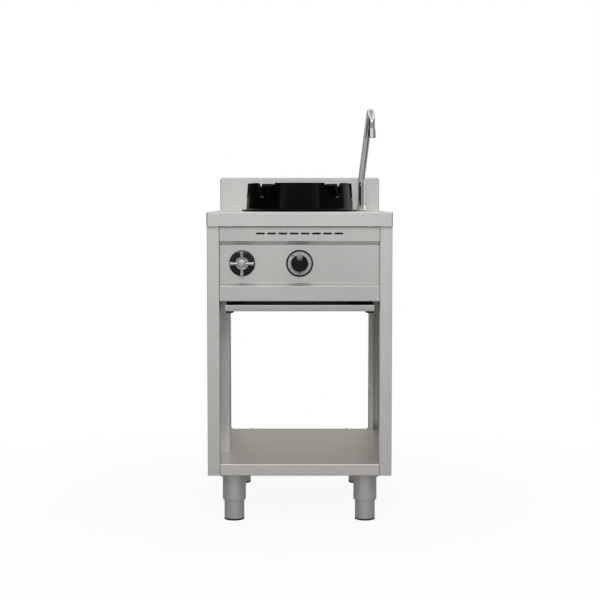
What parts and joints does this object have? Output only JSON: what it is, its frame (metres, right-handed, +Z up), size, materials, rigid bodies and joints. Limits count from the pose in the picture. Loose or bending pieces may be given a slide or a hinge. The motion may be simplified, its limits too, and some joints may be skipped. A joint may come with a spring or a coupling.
{
  "type": "gas wok range",
  "caption": "Free-standing stainless gas wok range: one burner under a notched cast crown, swivel water spout, splashback, recessed controls, drip tray, open bay with shelf, adjustable feet.",
  "frame": {"origin": "on the floor, under the middle of the whole object's box", "axes": "+Z up, the front faces -Y, +X to the right as seen from the front"},
  "size_m": [0.5, 0.7124, 1.1469],
  "materials": {
    "stainless": "satin stainless sheet",
    "shelf_stainless": "satin stainless sheet, duller",
    "black_enamel": "gloss black enamel on cast iron",
    "raw_casting": "rough grey iron",
    "burner_brass": "machined brass",
    "copper_tube": "drawn copper tube",
    "zinc_pipe": "zinc-plated steel",
    "chrome": "polished chrome plate",
    "knob_black": "black moulded plastic",
    "bezel_black": "black plastic ring",
    "dial_metal": "spun satin aluminium",
    "plate_black": "black plastic plate",
    "foot_steel": "satin stainless tube",
    "pad_black": "black rubber",
    "rail_black": "black painted steel",
    "screw_steel": "bright stainless screws"
  },
  "bodies": {
    "frame": {"worktop": "stainless", "splashback": "stainless", "left_side_panel": "stainless", "right_side_panel": "stainless", "front_panel": "stainless", "rear_panel": "stainless", "casing_floor": "stainless", "lower_shelf": "shelf_stainless", "left_base_channel": "stainless", "right_base_channel": "stainless", "service_duct": "stainless", "left_tray_rail": "rail_black", "right_tray_rail": "rail_black", "burner_well": "stainless", "burner_crossbar": "zinc_pipe", "burner_body": "raw_casting", "injector": "burner_brass", "gas_valve": "burner_brass", "knob_bezel": "bezel_black", "knob_dial": "dial_metal", "gas_manifold": "zinc_pipe", "gas_inlet_fitting": "burner_brass", "burner_supply_pipe": "copper_tube", "pilot_burner": "burner_brass", "pilot_tube": "copper_tube", "thermocouple": "copper_tube", "water_valve": "burner_brass", "water_escutcheon": "plate_black", "water_inlet_pipe": "copper_tube", "water_inlet_fitting": "burner_brass", "tap_supply_pipe": "copper_tube", "tap_base": "chrome", "tap_lock_nut": "burner_brass", "foot_nuts": "zinc_pipe", "body_screws": "screw_steel", "front_left_foot_sleeve": "foot_steel", "front_right_foot_sleeve": "foot_steel", "rear_left_foot_sleeve": "foot_steel", "rear_right_foot_sleeve": "foot_steel"},
    "tray": {"drip_tray": "stainless"},
    "crown": {"wok_crown": "black_enamel"},
    "head": {"burner_head": "burner_brass"},
    "shutter": {"air_shutter": "zinc_pipe"},
    "gas_push": {"gas_push_rod": "zinc_pipe"},
    "gas_knob": {"gas_spindle": "burner_brass", "burner_knob": "knob_black"},
    "water_turn": {"water_spindle": "burner_brass", "water_handle": "chrome", "handle_cap": "chrome"},
    "spout": {"tap_spout": "chrome", "spout_nozzle": "chrome"},
    "front_left_foot": {"front_left_foot_leg": "foot_steel", "front_left_foot_pad": "pad_black"},
    "front_right_foot": {"front_right_foot_leg": "foot_steel", "front_right_foot_pad": "pad_black"},
    "rear_left_foot": {"rear_left_foot_leg": "foot_steel", "rear_left_foot_pad": "pad_black"},
    "rear_right_foot": {"rear_right_foot_leg": "foot_steel", "rear_right_foot_pad": "pad_black"}
  },
  "joints": [
    {"name": "tray_slide", "type": "slide", "parent": "frame", "child": "tray", "axis": [0, -1, 0], "range_m": [0, 0.45]},
    {"name": "crown_lift", "type": "slide", "parent": "frame", "child": "crown", "axis": [0, 0, 1], "range_m": [0, 0.08]},
    {"name": "head_lift", "type": "slide", "parent": "frame", "child": "head", "axis": [0, 0, 1], "range_m": [0, 0.05]},
    {"name": "shutter_slide", "type": "slide", "parent": "frame", "child": "shutter", "axis": [0, -1, 0], "range_m": [-0.009, 0.009]},
    {"name": "gas_push", "type": "slide", "parent": "frame", "child": "gas_push", "axis": [0, 1, 0], "range_m": [0, 0.004], "stiffness_N_per_m": 900, "springref_m": -0.004},
    {"name": "gas_turn", "type": "hinge", "parent": "gas_push", "child": "gas_knob", "pos_m": [0, -0.31975, 0.712], "axis": [0, -1, 0], "range_deg": [0, 180]},
    {"name": "water_turn", "type": "hinge", "parent": "frame", "child": "water_turn", "pos_m": [-0.155, -0.31975, 0.712], "axis": [0, -1, 0], "range_deg": [0, 720]},
    {"name": "spout_swivel", "type": "hinge", "parent": "frame", "child": "spout", "pos_m": [0.19, 0.23625, 0.868], "axis": [0, 0, 1], "continuous": true},
    {"name": "front_left_level", "type": "slide", "parent": "frame", "child": "front_left_foot", "axis": [0, 0, -1], "range_m": [-0.02, 0.03]},
    {"name": "front_right_level", "type": "slide", "parent": "frame", "child": "front_right_foot", "axis": [0, 0, -1], "range_m": [-0.02, 0.03]},
    {"name": "rear_left_level", "type": "slide", "parent": "frame", "child": "rear_left_foot", "axis": [0, 0, -1], "range_m": [-0.02, 0.03]},
    {"name": "rear_right_level", "type": "slide", "parent": "frame", "child": "rear_right_foot", "axis": [0, 0, -1], "range_m": [-0.02, 0.03]}
  ]
}
